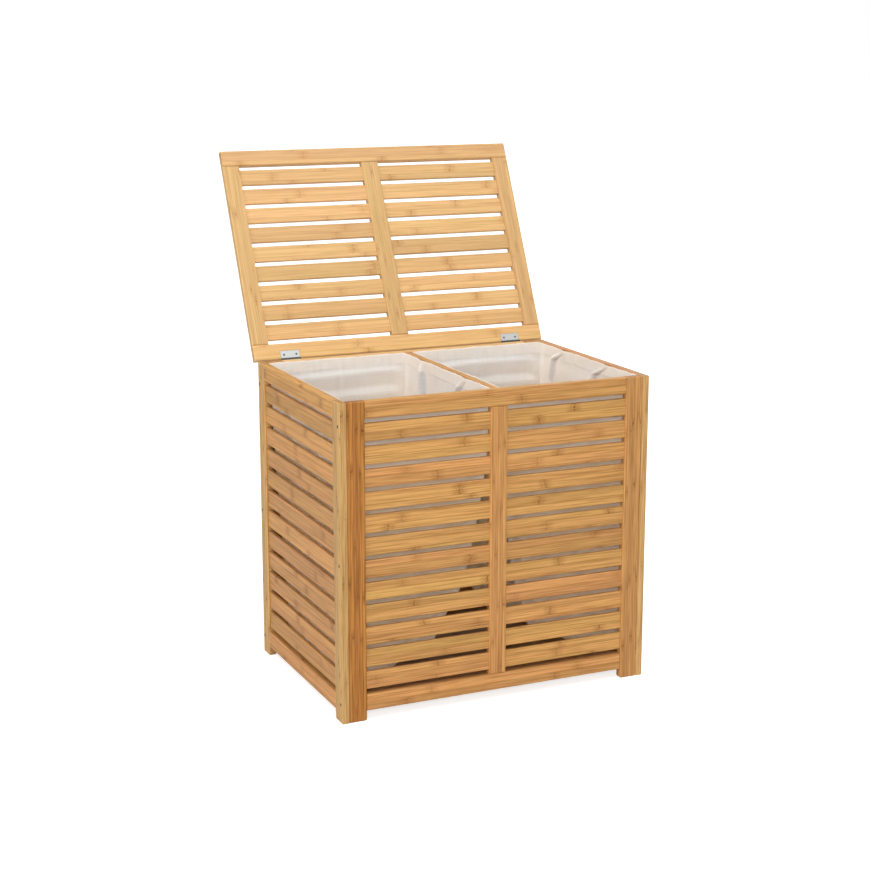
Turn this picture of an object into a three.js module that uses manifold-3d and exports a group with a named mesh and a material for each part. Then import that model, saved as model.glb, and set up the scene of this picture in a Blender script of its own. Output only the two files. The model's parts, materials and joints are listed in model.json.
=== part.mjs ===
// Laundry hamper with two bins: a slatted bamboo box, a hinged slatted lid and two fabric liners.
// Millimetres, +Z up. The box stands on its eight stile ends and the lid stands open, leaning back.
// Each panel is drawn flat, in u (along the panel), v (up) and w (from its inner to its outer face).

import * as THREE from 'three';
import { mergeVertices } from 'three/addons/utils/BufferGeometryUtils.js';
import Module from 'manifold-3d';

const wasm = await Module();
wasm.setup();

// Driving dimensions of the box
const boxWidth = 632;
const boxDepth = 438;
const boxHeight = 600;
const boardThickness = 15;
const stileWidth = 34;
const mullionWidth = 34;
const railHeight = 32;
const footHeight = 19;
const footRadius = 5;
const boardArris = 1.5;

// Slats, housed at both ends in mortises
const slatCount = 12;
const slatGap = 9;
const slatThickness = 8;
const slatHousing = 8;
const slatArris = 1.2;

// Joints between the boards
const fitGap = 0.3;
const tenonLength = 7;
const tenonThickness = 6;
const tenonShoulder = 5;
const cutOverrun = 2;

// Screws that hold the side panels to the front and rear panels
const screwShankRadius = 2;
const screwHeadRadius = 3.6;
const screwHeadDepth = 2;
const lowScrewHeight = 36;
const highScrewDrop = 43;

// Divider rail between the bins, and the base board in its grooves
const dividerWidth = 15;
const dividerHeight = 32;
const dividerDrop = 1;
const dividerTenonLength = 4;
const dividerTenonHeight = 12;
const dividerTenonWidth = 8;
const baseThickness = 6;
const baseRise = 10;
const grooveDepth = 5;

// Lid
const lidOverhang = 3;
const lidRestGap = 0.6;
const lidStileWidth = 34;
const lidRailWidth = 32;
const lidMullionWidth = 36;
const lidSlatCount = 9;
const lidSlatGap = 8.8;
const lidOpenAngle = 115.5;

// Butt hinges with a stop heel
const hingeLength = 40;
const hingeInset = 55;
const hingeLeafReach = 20;
const hingeLeafThickness = 1.2;
const knuckleRadius = 3.4;
const knuckleCount = 5;
const knuckleSideGap = 0.3;
const pinRadius = 1.2;
const pinHeadRadius = 2;
const pinHeadHeight = 1;
const leafScrewSpacing = 26;
const leafScrewShankRadius = 1.3;
const leafScrewHeadRadius = 2.4;
const leafScrewHeadDepth = 0.9;

// Fabric liners
const linerWall = 2;
const linerHemHeight = 25;
const linerHemThickness = 3.5;
const linerHemDrop = 0.8;
const linerDrawIn = 5;
const linerFootDrawIn = 24;
const linerCornerRadius = 8;
const linerBottomRadius = 36;

// How finely round forms are cut
const cornerSteps = 4;
const holeSides = 12;
const knuckleSides = 18;

const degree = Math.PI / 180;
const quarterTurn = 90 * degree;

const materials = {
  frame: new THREE.MeshStandardMaterial({ color: 0xc89659, roughness: 0.5, metalness: 0 }),
  slat: new THREE.MeshStandardMaterial({ color: 0xc08a4e, roughness: 0.52, metalness: 0 }),
  lid: new THREE.MeshStandardMaterial({ color: 0xdcae74, roughness: 0.5, metalness: 0 }),
  base: new THREE.MeshStandardMaterial({ color: 0x8a6238, roughness: 0.7, metalness: 0 }),
  steel: new THREE.MeshStandardMaterial({ color: 0xc9ccc8, roughness: 0.35, metalness: 0.9 }),
  fabric: new THREE.MeshStandardMaterial({ color: 0xe2d8cc, roughness: 0.9, metalness: 0 }),
};

// Solids

/** A closed solid from a closed geometry, with doubled vertices merged and empty faces left out. */
function solidOf(geometry) {
  geometry.deleteAttribute('normal');
  geometry.deleteAttribute('uv');
  const merged = mergeVertices(geometry);
  const index = merged.index.array;
  const faces = [];
  for (let i = 0; i < index.length; i += 3) {
    const [a, b, c] = [index[i], index[i + 1], index[i + 2]];
    if (a !== b && b !== c && c !== a) faces.push(a, b, c);
  }
  return new wasm.Manifold(new wasm.Mesh({
    numProp: 3,
    vertProperties: new Float32Array(merged.attributes.position.array),
    triVerts: new Uint32Array(faces),
  }));
}

/** A geometry from a solid. */
function geometryOf(solid) {
  const mesh = solid.getMesh();
  const geometry = new THREE.BufferGeometry();
  geometry.setAttribute('position', new THREE.BufferAttribute(mesh.vertProperties, 3));
  geometry.setIndex(new THREE.BufferAttribute(mesh.triVerts, 1));
  geometry.computeVertexNormals();
  return geometry;
}

const joined = (parts) => parts.reduce((whole, next) => whole.add(next));
const carved = (solid, cutters) => cutters.reduce((left, cutter) => left.subtract(cutter), solid);

/** A square-edged block between low and high values on each axis. */
function block([x0, x1], [y0, y1], [z0, z1]) {
  const geometry = new THREE.BoxGeometry(x1 - x0, y1 - y0, z1 - z0);
  geometry.translate((x0 + x1) / 2, (y0 + y1) / 2, (z0 + z1) / 2);
  return solidOf(geometry);
}

/** A board cut to an outline in u and v, between two values of w, with its edges eased. */
function plank(outline, [w0, w1], arris) {
  const geometry = new THREE.ExtrudeGeometry(outline, {
    depth: w1 - w0 - 2 * arris,
    bevelEnabled: true,
    bevelThickness: arris,
    bevelSize: arris,
    bevelOffset: -arris,
    bevelSegments: 1,
    curveSegments: cornerSteps,
  });
  geometry.translate(0, 0, w0 + arris);
  return solidOf(geometry);
}

/** A rectangle in u and v. */
function rectangle([u0, u1], [v0, v1]) {
  const outline = new THREE.Shape();
  outline.moveTo(u0, v0);
  outline.lineTo(u1, v0);
  outline.lineTo(u1, v1);
  outline.lineTo(u0, v1);
  outline.closePath();
  return outline;
}

/** A stile's outline: its inner bottom corner is rounded where it stands below the rail as a foot. */
function stileOutline(outer, inner, [v0, v1], radius) {
  const inward = Math.sign(inner - outer);
  const outline = new THREE.Shape();
  outline.moveTo(outer, v0);
  outline.lineTo(inner - inward * radius, v0);
  outline.quadraticCurveTo(inner, v0, inner, v0 + radius);
  outline.lineTo(inner, v1);
  outline.lineTo(outer, v1);
  outline.closePath();
  return outline;
}

/** A countersunk hole down from height zero along -w, for a screw's shank and head. */
function screwHole(shankRadius, headRadius, headDepth, length) {
  const profile = [
    [0, -length],
    [shankRadius, -length],
    [shankRadius, -headDepth],
    [headRadius, 0],
    [headRadius, cutOverrun],
    [0, cutOverrun],
  ].map(([radius, height]) => new THREE.Vector2(radius, height));
  const geometry = new THREE.LatheGeometry(profile, holeSides);
  geometry.rotateX(quarterTurn);
  return solidOf(geometry);
}

/** A round bar along x. */
function roundBar([x0, x1], radius, sides) {
  const geometry = new THREE.CylinderGeometry(radius, radius, x1 - x0, sides);
  geometry.rotateZ(quarterTurn);
  geometry.translate((x0 + x1) / 2, 0, 0);
  return solidOf(geometry);
}

/** A closed body through rings of points, each as long as the next, closed flat at both ends. */
function loft(rings) {
  const count = rings[0].length;
  const faces = [];
  for (let ring = 0; ring + 1 < rings.length; ring += 1) {
    for (let i = 0; i < count; i += 1) {
      const next = (i + 1) % count;
      const [a, b] = [ring * count + i, ring * count + next];
      faces.push(a, b, b + count, a, b + count, a + count);
    }
  }
  const last = (rings.length - 1) * count;
  for (let i = 1; i + 1 < count; i += 1) {
    faces.push(0, i + 1, i, last, last + i, last + i + 1);
  }
  const geometry = new THREE.BufferGeometry();
  geometry.setAttribute('position', new THREE.Float32BufferAttribute(rings.flat(2), 3));
  geometry.setIndex(faces);
  return solidOf(geometry);
}

/** The points of a rectangle with round corners, at one height. */
function roundedRing([x0, x1], [y0, y1], inset, radius, height) {
  const corner = Math.max(radius - inset, linerWall);
  const centres = [
    [x1 - inset - corner, y0 + inset + corner, -quarterTurn],
    [x1 - inset - corner, y1 - inset - corner, 0],
    [x0 + inset + corner, y1 - inset - corner, quarterTurn],
    [x0 + inset + corner, y0 + inset + corner, 2 * quarterTurn],
  ];
  return centres.flatMap(([cx, cy, start]) => Array.from({ length: cornerSteps + 1 }, (_, step) => {
    const angle = start + quarterTurn * step / cornerSteps;
    return [cx + corner * Math.cos(angle), cy + corner * Math.sin(angle), height];
  }));
}

// Panels

/** The rows that a count of slats takes between two rails, with equal gaps all the way up. */
function slatRows([low, high], count, gap) {
  const height = (high - low - (count + 1) * gap) / count;
  return Array.from({ length: count }, (_, i) => {
    const bottom = low + gap + i * (height + gap);
    return [bottom, bottom + height];
  });
}

const widened = ([low, high], by) => [low - by, high + by];
const middle = ([low, high]) => (low + high) / 2;
const about = (centre, size) => [centre - size / 2, centre + size / 2];

/**
 * The pieces of a frame-and-slat panel. Rails are tenoned into stiles that run right up, or with wideRails
 * the stiles are tenoned into rails that run right across. A mullion is tenoned into the rails, and each
 * slat's ends are housed in the stiles. With a mullion, the slats and the mullion are one piece.
 */
function slattedPanel({ width, height, foot, radius, stile, rail, mullion, count, gap, wideRails }) {
  const half = width / 2;
  const opening = half - stile;
  const w = [0, boardThickness];
  const slatW = about(middle(w), slatThickness);
  const tenonW = about(middle(w), tenonThickness);
  const lowRail = [foot, foot + rail];
  const highRail = [height - rail, height];
  const rows = slatRows([lowRail[1], highRail[0]], count, gap);

  const pocket = (side, depth) => (
    [side * (opening - cutOverrun), side * (opening + depth + fitGap)].sort((a, b) => a - b));
  const railMortises = (side) => [lowRail, highRail].map((v) => (
    block(pocket(side, tenonLength), widened(v, fitGap - tenonShoulder), widened(tenonW, fitGap))));
  const slatMortises = (side) => rows.map((v) => (
    block(pocket(side, slatHousing), widened(v, fitGap), widened(slatW, fitGap))));
  const slatPiece = (v) => plank(
    rectangle(about(0, 2 * (opening + slatHousing)), v), slatW, slatArris);

  // An upright between the rails with a tenon at each end, and the mortise that it needs in a rail
  const upright = (u) => {
    const post = plank(rectangle(u, widened([lowRail[1], highRail[0]], -fitGap)), w, boardArris);
    const ends = widened([lowRail[1], highRail[0]], tenonLength);
    return post.add(block(widened(u, -tenonShoulder), ends, tenonW));
  };
  const uprightMortise = (u, v) => {
    const into = v === lowRail ? [v[1] - tenonLength - fitGap, v[1] + cutOverrun]
      : [v[0] - cutOverrun, v[0] + tenonLength + fitGap];
    return block(widened(u, fitGap - tenonShoulder), into, widened(tenonW, fitGap));
  };
  const stileSpan = (side) => [side * opening, side * half].sort((a, b) => a - b);
  const uprights = [
    ...(mullion ? [about(0, mullion)] : []),
    ...(wideRails ? [stileSpan(-1), stileSpan(1)] : []),
  ];

  const stilePiece = (side) => {
    if (wideRails) return carved(upright(stileSpan(side)), slatMortises(side));
    const outline = stileOutline(side * half, side * opening, [0, height], radius);
    return carved(plank(outline, w, boardArris), [...railMortises(side), ...slatMortises(side)]);
  };
  const railPiece = (v) => {
    const reach = wideRails ? half : opening - fitGap;
    const body = plank(rectangle(about(0, 2 * reach), v), w, boardArris);
    const tenon = block(about(0, 2 * (opening + tenonLength)), widened(v, -tenonShoulder), tenonW);
    return carved(wideRails ? body : body.add(tenon), uprights.map((u) => uprightMortise(u, v)));
  };
  return {
    stiles: { low: stilePiece(-1), high: stilePiece(1) },
    rails: { low: railPiece(lowRail), high: railPiece(highRail) },
    slats: mullion ? [] : rows.map(slatPiece),
    grid: mullion ? joined([upright(about(0, mullion)), ...rows.map(slatPiece)]) : null,
  };
}

// The hamper

const hamper = new THREE.Group();

function addPiece(parent, name, solid, material) {
  const mesh = new THREE.Mesh(geometryOf(solid), material);
  mesh.name = name;
  parent.add(mesh);
}

/** A standing panel: w = 0 is its inner face, and it is turned about +Z to face outwards. */
function standingGroup(x, y, turn) {
  const group = new THREE.Group();
  group.rotation.set(quarterTurn, 0, turn, 'ZYX');
  group.position.set(x, y, 0);
  hamper.add(group);
  return group;
}

const innerHalfWidth = boxWidth / 2 - boardThickness;
const endPanelWidth = 2 * (innerHalfWidth - fitGap);
const endOpening = endPanelWidth / 2 - stileWidth;
const sideOpening = boxDepth / 2 - stileWidth;
const baseBottom = footHeight + baseRise;
const baseHeights = [baseBottom, baseBottom + baseThickness];
const dividerHeights = [boxHeight - dividerDrop - dividerHeight, boxHeight - dividerDrop];

/** The groove along a bottom rail that takes the base board's edge. */
function baseGroove(opening) {
  return block(
    about(0, 2 * opening), widened(baseHeights, fitGap), [-cutOverrun, grooveDepth + fitGap]);
}

/** The front or the rear panel, with a mullion and two columns of slats. */
function addEndPanel(name, y, turn, lowSide, highSide) {
  const pieces = slattedPanel({
    width: endPanelWidth,
    height: boxHeight,
    foot: footHeight,
    radius: footRadius,
    stile: stileWidth,
    rail: railHeight,
    mullion: mullionWidth,
    count: slatCount,
    gap: slatGap,
  });
  const dividerMortise = block(
    about(0, dividerTenonWidth + 2 * fitGap),
    about(middle(dividerHeights), dividerTenonHeight + 2 * fitGap),
    [-cutOverrun, dividerTenonLength + fitGap],
  );
  const group = standingGroup(0, y, turn);
  addPiece(group, `${name}_${lowSide}_stile`, pieces.stiles.low, materials.frame);
  addPiece(group, `${name}_${highSide}_stile`, pieces.stiles.high, materials.frame);
  addPiece(group, `${name}_top_rail`, pieces.rails.high.subtract(dividerMortise), materials.frame);
  const lowRail = pieces.rails.low.subtract(baseGroove(endOpening));
  addPiece(group, `${name}_bottom_rail`, lowRail, materials.frame);
  addPiece(group, `${name}_mullion_and_slats`, pieces.grid, materials.slat);
}

/** The screw holes up one side stile, which lead into the edge of the end panel behind it. */
function stileScrewHoles(side) {
  const heights = [lowScrewHeight, boxHeight / 2, boxHeight - highScrewDrop];
  return heights.map((v) => (
    screwHole(screwShankRadius, screwHeadRadius, screwHeadDepth, boardThickness + cutOverrun)
      .translate([side * (boxDepth / 2 - boardThickness / 2), v, boardThickness])));
}

/** A side panel, with one column of slats, each a piece of its own. */
function addSidePanel(name, x, turn, lowSide, highSide) {
  const pieces = slattedPanel({
    width: boxDepth,
    height: boxHeight,
    foot: footHeight,
    radius: footRadius,
    stile: stileWidth,
    rail: railHeight,
    mullion: 0,
    count: slatCount,
    gap: slatGap,
  });
  const group = standingGroup(x, boxDepth / 2, turn);
  const lowStile = carved(pieces.stiles.low, stileScrewHoles(-1));
  const highStile = carved(pieces.stiles.high, stileScrewHoles(1));
  addPiece(group, `${name}_${lowSide}_stile`, lowStile, materials.frame);
  addPiece(group, `${name}_${highSide}_stile`, highStile, materials.frame);
  addPiece(group, `${name}_top_rail`, pieces.rails.high, materials.frame);
  const lowRail = pieces.rails.low.subtract(baseGroove(sideOpening));
  addPiece(group, `${name}_bottom_rail`, lowRail, materials.frame);
  pieces.slats.forEach((slat, i) => {
    addPiece(group, `${name}_slat_${String(i + 1).padStart(2, '0')}`, slat, materials.slat);
  });
}

/** The rail between the bins, with a stub tenon at each end. */
function addDivider() {
  const between = [boardThickness + fitGap, boxDepth - boardThickness - fitGap];
  const rail = plank(rectangle(between, dividerHeights), about(0, dividerWidth), boardArris);
  const tenon = block(
    widened([boardThickness, boxDepth - boardThickness], dividerTenonLength),
    about(middle(dividerHeights), dividerTenonHeight),
    about(0, dividerTenonWidth),
  );
  const group = standingGroup(0, 0, quarterTurn);
  addPiece(group, 'divider_rail', rail.add(tenon), materials.frame);
}

/** The base board: its four edges stand out as tongues into the grooves of the bottom rails. */
function addBase() {
  const across = about(0, 2 * (innerHalfWidth - fitGap));
  const along = [boardThickness + fitGap, boxDepth - boardThickness - fitGap];
  const tongueAcross = about(0, 2 * (endOpening - fitGap));
  const tongueAlong = about(boxDepth / 2, 2 * (sideOpening - fitGap));
  const reach = grooveDepth - fitGap;
  addPiece(hamper, 'base_board', joined([
    block(across, along, baseHeights),
    block(tongueAcross, widened(along, reach), baseHeights),
    block(widened(across, reach), tongueAlong, baseHeights),
  ]), materials.base);
}

/** A fabric bin: thin walls with a thicker hem at the rim, drawn in below it, open at the top. */
function addLiner(name, x) {
  const y = [boardThickness + fitGap, boxDepth - boardThickness - fitGap];
  const bottom = baseHeights[1] + fitGap;
  const rim = boxHeight - linerHemDrop;
  const hem = rim - linerHemHeight;
  const ring = (inset, height) => roundedRing(x, y, inset, linerCornerRadius, height);
  const bend = (inset, base, radius) => Array.from({ length: cornerSteps + 1 }, (_, step) => {
    const angle = quarterTurn * step / cornerSteps;
    return ring(inset + radius * (1 - Math.sin(angle)), base + radius * (1 - Math.cos(angle)));
  });
  const outside = [
    ...bend(linerFootDrawIn, bottom, linerBottomRadius),
    ring(linerDrawIn, hem - linerDrawIn),
    ring(0, hem),
    ring(0, rim),
  ];
  const inside = [
    ring(linerHemThickness, rim),
    ring(linerHemThickness, hem),
    ring(linerDrawIn + linerWall, hem - linerDrawIn),
    ...bend(linerFootDrawIn + linerWall, bottom + linerWall, linerBottomRadius - linerWall).reverse(),
  ];
  addPiece(hamper, name, loft([...outside, ...inside]), materials.fabric);
}

// Lid and hinges

const hingeBack = knuckleRadius + fitGap;
const hingeSeat = knuckleRadius - hingeLeafThickness;
const hingeHeight = boxHeight + lidRestGap - hingeSeat;
const hingeFromMiddle = boxWidth / 2 + lidOverhang - hingeInset - hingeLength / 2;
const hingePlaces = [['left', -hingeFromMiddle], ['right', hingeFromMiddle]];
const knuckleClear = knuckleRadius + knuckleSideGap;
const leafMiddle = (hingeLeafReach + knuckleClear) / 2;

/** The hinge pivots on the box at the back of the rear panel. Everything on it turns with the lid. */
const lidPivot = new THREE.Group();
lidPivot.position.set(0, boxDepth + hingeBack, hingeHeight);
lidPivot.rotation.x = -lidOpenAngle * degree;
hamper.add(lidPivot);

function addLid() {
  const pieces = slattedPanel({
    width: boxWidth + 2 * lidOverhang,
    height: boxDepth + lidOverhang,
    foot: 0,
    radius: 0,
    stile: lidStileWidth,
    rail: lidRailWidth,
    mullion: lidMullionWidth,
    count: lidSlatCount,
    gap: lidSlatGap,
    wideRails: true,
  });
  const leafMortises = hingePlaces.map(([, x]) => block(
    about(x, hingeLength + 2 * fitGap),
    [-cutOverrun, hingeLeafReach - hingeBack + fitGap],
    [-cutOverrun, hingeLeafThickness + fitGap],
  ));
  const group = new THREE.Group();
  group.rotation.z = 2 * quarterTurn;
  group.position.set(0, -hingeBack, hingeSeat);
  lidPivot.add(group);
  addPiece(group, 'lid_right_stile', pieces.stiles.low, materials.lid);
  addPiece(group, 'lid_left_stile', pieces.stiles.high, materials.lid);
  addPiece(group, 'lid_front_rail', pieces.rails.high, materials.lid);
  addPiece(group, 'lid_rear_rail', carved(pieces.rails.low, leafMortises), materials.lid);
  addPiece(group, 'lid_mullion_and_slats', pieces.grid, materials.lid);
}

/** The spans along x of a hinge's knuckles: even ones belong to the box leaf, odd ones to the lid leaf. */
function knuckleSpans(parity) {
  const pitch = hingeLength / knuckleCount;
  return Array.from({ length: knuckleCount }, (_, i) => i)
    .filter((i) => i % 2 === parity)
    .map((i) => [
      -hingeLength / 2 + i * pitch + (i > 0 ? knuckleSideGap / 2 : 0),
      -hingeLength / 2 + (i + 1) * pitch - (i + 1 < knuckleCount ? knuckleSideGap / 2 : 0),
    ]);
}

const hingeBore = () => roundBar(about(0, hingeLength + 2 * cutOverrun), pinRadius + fitGap, knuckleSides);
const leafSpan = about(0, hingeLength);

/** The countersunk holes of one leaf, sunk from height zero along -w. */
function leafScrewHoles() {
  const depth = hingeLeafThickness + cutOverrun;
  const hole = screwHole(leafScrewShankRadius, leafScrewHeadRadius, leafScrewHeadDepth, depth);
  return [-1, 1].map((side) => hole.translate([side * leafScrewSpacing / 2, 0, 0]));
}

/** The leaf on the back of the box: a plate down the rear rail and knuckles curled round the pin. */
function boxLeaf() {
  const plateY = [-knuckleRadius, -knuckleRadius + hingeLeafThickness];
  const plate = block(leafSpan, plateY, [-hingeLeafReach, -knuckleClear]);
  const knuckles = knuckleSpans(0).flatMap((span) => [
    roundBar(span, knuckleRadius, knuckleSides),
    block(span, plateY, [-knuckleClear - hingeLeafThickness, 0]),
  ]);
  const holes = leafScrewHoles().map((hole) => (
    hole.rotate([-90, 0, 0]).translate([0, plateY[1], -leafMiddle])));
  return carved(joined([plate, ...knuckles]), [hingeBore(), ...holes]);
}

/**
 * The leaf let into the lid, drawn with the lid shut. Behind each knuckle a heel stands out, just long
 * enough to meet the box leaf when the lid has opened by its full angle.
 */
function lidLeaf() {
  const plateZ = [hingeSeat, hingeSeat + hingeLeafThickness];
  const stopDistance = knuckleRadius - hingeLeafThickness - fitGap;
  const heelReach = stopDistance / Math.sin(lidOpenAngle * degree - quarterTurn);
  const plate = block(leafSpan, [-hingeLeafReach, -knuckleClear], plateZ);
  const knuckles = knuckleSpans(1).flatMap((span) => [
    roundBar(span, knuckleRadius, knuckleSides),
    block(span, [-knuckleClear - hingeLeafThickness, 0], plateZ),
    block(span, [0, heelReach], [0, hingeLeafThickness]),
  ]);
  const holes = leafScrewHoles().map((hole) => (
    hole.rotate([180, 0, 0]).translate([0, -leafMiddle, plateZ[0]])));
  return carved(joined([plate, ...knuckles]), [hingeBore(), ...holes]);
}

/** The hinge pin, with a domed head at each end. */
function hingePin() {
  const end = hingeLength / 2 + fitGap;
  const dome = Array.from({ length: cornerSteps + 1 }, (_, step) => {
    const angle = quarterTurn * step / cornerSteps;
    return [pinHeadRadius * Math.cos(angle), end + pinHeadHeight * Math.sin(angle)];
  });
  const upper = [[pinRadius, end], ...dome];
  const lower = upper.map(([radius, height]) => [radius, -height]).reverse();
  const profile = [...lower, ...upper].map(([radius, height]) => (
    new THREE.Vector2(Math.max(radius, 0), height)));
  profile[0].x = 0;
  profile[profile.length - 1].x = 0;
  const geometry = new THREE.LatheGeometry(profile, holeSides);
  geometry.rotateZ(quarterTurn);
  return solidOf(geometry);
}

function addHinges() {
  hingePlaces.forEach(([side, x]) => {
    const onBox = new THREE.Group();
    onBox.position.set(x, boxDepth + hingeBack, hingeHeight);
    hamper.add(onBox);
    const onLid = new THREE.Group();
    onLid.position.set(x, 0, 0);
    lidPivot.add(onLid);
    addPiece(onBox, `hinge_${side}_box_leaf`, boxLeaf(), materials.steel);
    addPiece(onBox, `hinge_${side}_pin`, hingePin(), materials.steel);
    addPiece(onLid, `hinge_${side}_lid_leaf`, lidLeaf(), materials.steel);
  });
}

addEndPanel('front', boardThickness, 0, 'left', 'right');
addEndPanel('rear', boxDepth - boardThickness, 2 * quarterTurn, 'right', 'left');
addSidePanel('left', -innerHalfWidth, -quarterTurn, 'rear', 'front');
addSidePanel('right', innerHalfWidth, quarterTurn, 'front', 'rear');
addDivider();
addBase();
addLiner('left_liner', [-innerHalfWidth + fitGap, -dividerWidth / 2 - fitGap]);
addLiner('right_liner', [dividerWidth / 2 + fitGap, innerHalfWidth - fitGap]);
addLid();
addHinges();

// The origin lies on the floor, under the middle of the whole outline with the lid open.
hamper.updateMatrixWorld(true);
const outline = new THREE.Box3().setFromObject(hamper, true);
const centre = outline.getCenter(new THREE.Vector3());
hamper.position.set(-centre.x, -centre.y, -outline.min.z);

export default hamper;
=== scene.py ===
"""Laundry hamper with two bins: the looks of its bamboo, fabric liners, hinges and screws."""

import json
import math

import bpy
import numpy as np
from mathutils import Matrix, Vector


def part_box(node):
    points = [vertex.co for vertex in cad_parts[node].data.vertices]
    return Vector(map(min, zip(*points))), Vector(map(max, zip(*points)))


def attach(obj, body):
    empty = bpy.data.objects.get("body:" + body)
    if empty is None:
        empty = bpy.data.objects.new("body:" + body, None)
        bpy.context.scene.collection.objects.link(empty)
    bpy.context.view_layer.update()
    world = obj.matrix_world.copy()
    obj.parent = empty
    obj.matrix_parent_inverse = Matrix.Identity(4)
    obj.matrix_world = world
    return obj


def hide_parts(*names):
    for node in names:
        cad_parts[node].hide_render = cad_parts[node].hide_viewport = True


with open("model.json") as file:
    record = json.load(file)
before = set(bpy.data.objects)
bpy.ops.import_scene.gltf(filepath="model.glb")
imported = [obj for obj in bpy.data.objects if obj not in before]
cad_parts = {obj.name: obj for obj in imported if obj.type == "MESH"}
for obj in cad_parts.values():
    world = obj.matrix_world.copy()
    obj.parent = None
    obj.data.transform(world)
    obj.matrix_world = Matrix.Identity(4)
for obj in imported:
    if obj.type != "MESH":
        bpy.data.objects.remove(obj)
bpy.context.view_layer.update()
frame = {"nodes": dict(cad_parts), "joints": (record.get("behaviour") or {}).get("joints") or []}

MM = 0.001

# The camera, fitted to the photograph's corners, gaps and hinge leaves
IMAGE_PIXELS = 870
FOCAL_PIXELS = 1793.7
SENSOR_WIDTH = 36
CAMERA_PLACE = (-1.4281, -3.2004, 1.2498)
CAMERA_YAW = math.radians(24.285)
CAMERA_PITCH = math.radians(12.913)

# The lid's hinge line, and the angle that the lid stands open by
HINGE = next(joint for joint in frame["joints"] if joint["name"] == "lid_hinge")
HINGE_PLACE = Vector(HINGE["pos_m"])
LID_ANGLE = math.radians(HINGE["range_deg"][1])


def node_box(name):
    """The lowest and highest corner of a CAD node, as arrays."""
    low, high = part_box(name)
    return np.array(low), np.array(high)


def smooth(value, start, end):
    """0 before start, 1 after end, and a smooth S between them."""
    t = np.clip((value - start) / (end - start), 0, 1)
    return t * t * (3 - 2 * t)


def hump(value, centre, width):
    """A bell that is 1 at its centre and falls to a third at its width."""
    return np.exp(-((value - centre) / width) ** 2)


# Materials


def linear(hex_colour):
    """An sRGB hex colour as linear red, green, blue and alpha."""
    channels = [int(hex_colour[i:i + 2], 16) / 255 for i in (1, 3, 5)]
    return (*[c / 12.92 if c <= 0.04045 else ((c + 0.055) / 1.055) ** 2.4 for c in channels], 1)


def add(tree, kind, inputs=None, out=0, **settings):
    """Adds a shader node, sets it, fills or links its inputs and returns one output or several."""
    made = tree.nodes.new("ShaderNode" + kind)
    for key, value in settings.items():
        setattr(made, key, value)
    for key, value in (inputs or {}).items():
        if isinstance(value, bpy.types.NodeSocket):
            tree.links.new(value, made.inputs[key])
        else:
            made.inputs[key].default_value = value
    if isinstance(out, tuple):
        return [made.outputs[key] for key in out]
    return made.outputs[out] if made.outputs else None


def new_material(name):
    """An empty node material and its tree."""
    material = bpy.data.materials.new(name)
    material.use_nodes = True
    material.node_tree.nodes.clear()
    return material, material.node_tree


# Bamboo: how the grain lies in each board

XYZ = ("X", "Y", "Z")
END_GRAIN_FROM = 0.8  # a face shows end grain where its normal lies this much along the grain
COLUMN_STEP = 31.7  # what is added to the numbers of the slats in the right column


def standing_axes(tree):
    """Where a point of the box lies and which way it faces, each as X, Y and Z."""
    place, facing = add(tree, "TexCoord", out=("Object", "Normal"))
    place = add(tree, "SeparateXYZ", {"Vector": place}, out=XYZ)
    facing = add(tree, "SeparateXYZ", {"Vector": facing}, out=XYZ)
    return dict(zip(XYZ, place)), dict(zip(XYZ, facing))


def lid_axes(tree):
    """The same for the lid, turned about the hinge line to where it lies shut."""
    turn = Matrix.Rotation(LID_ANGLE, 3, "X")
    place, facing = add(tree, "TexCoord", out=("Object", "Normal"))
    place = add(tree, "Mapping", {
        "Vector": place,
        "Location": turn @ -HINGE_PLACE,
        "Rotation": (LID_ANGLE, 0, 0),
    })
    facing = add(
        tree, "Mapping", {"Vector": facing, "Rotation": (LID_ANGLE, 0, 0)}, vector_type="VECTOR")
    place = add(tree, "SeparateXYZ", {"Vector": place}, out=XYZ)
    facing = add(tree, "SeparateXYZ", {"Vector": facing}, out=XYZ)
    return dict(zip(XYZ, place)), dict(zip(XYZ, facing))


def one_board(axes, along, across, through, number, strip_width):
    """A single board.

    As every lay, it returns a point's place along, across and through the grain, the board's number, how
    wide its strips are and where end grain shows.
    """
    def lay(tree):
        place, facing = axes(tree)
        end = add(tree, "Math", {0: facing[along]}, operation="ABSOLUTE")
        end = add(tree, "Math", {0: end, 1: END_GRAIN_FROM}, operation="GREATER_THAN")
        return place[along], place[across], place[through], number, strip_width, end
    return lay


def stacked_slats(tree, level, first, pitch, number):
    """Slats one above another: the height within a slat, and a number of its own for each slat."""
    rows = add(tree, "Math", {0: level, 1: first}, operation="SUBTRACT")
    rows = add(tree, "Math", {0: rows, 1: pitch}, operation="DIVIDE")
    row = add(tree, "Math", {0: rows}, operation="FLOOR")
    within = add(tree, "Math", {0: rows, 1: row}, operation="SUBTRACT")
    within = add(tree, "Math", {0: within, 1: pitch}, operation="MULTIPLY")
    return within, add(tree, "Math", {0: row, 1: number}, operation="ADD")


def side_slats(first, pitch, number):
    """The slats of a side panel, which run from front to back."""
    def lay(tree):
        place, _ = standing_axes(tree)
        within, number_of_slat = stacked_slats(tree, place["Z"], first, pitch, number)
        return place["Y"], within, place["X"], number_of_slat, FLAT_STRIP, 0.0
    return lay


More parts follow.
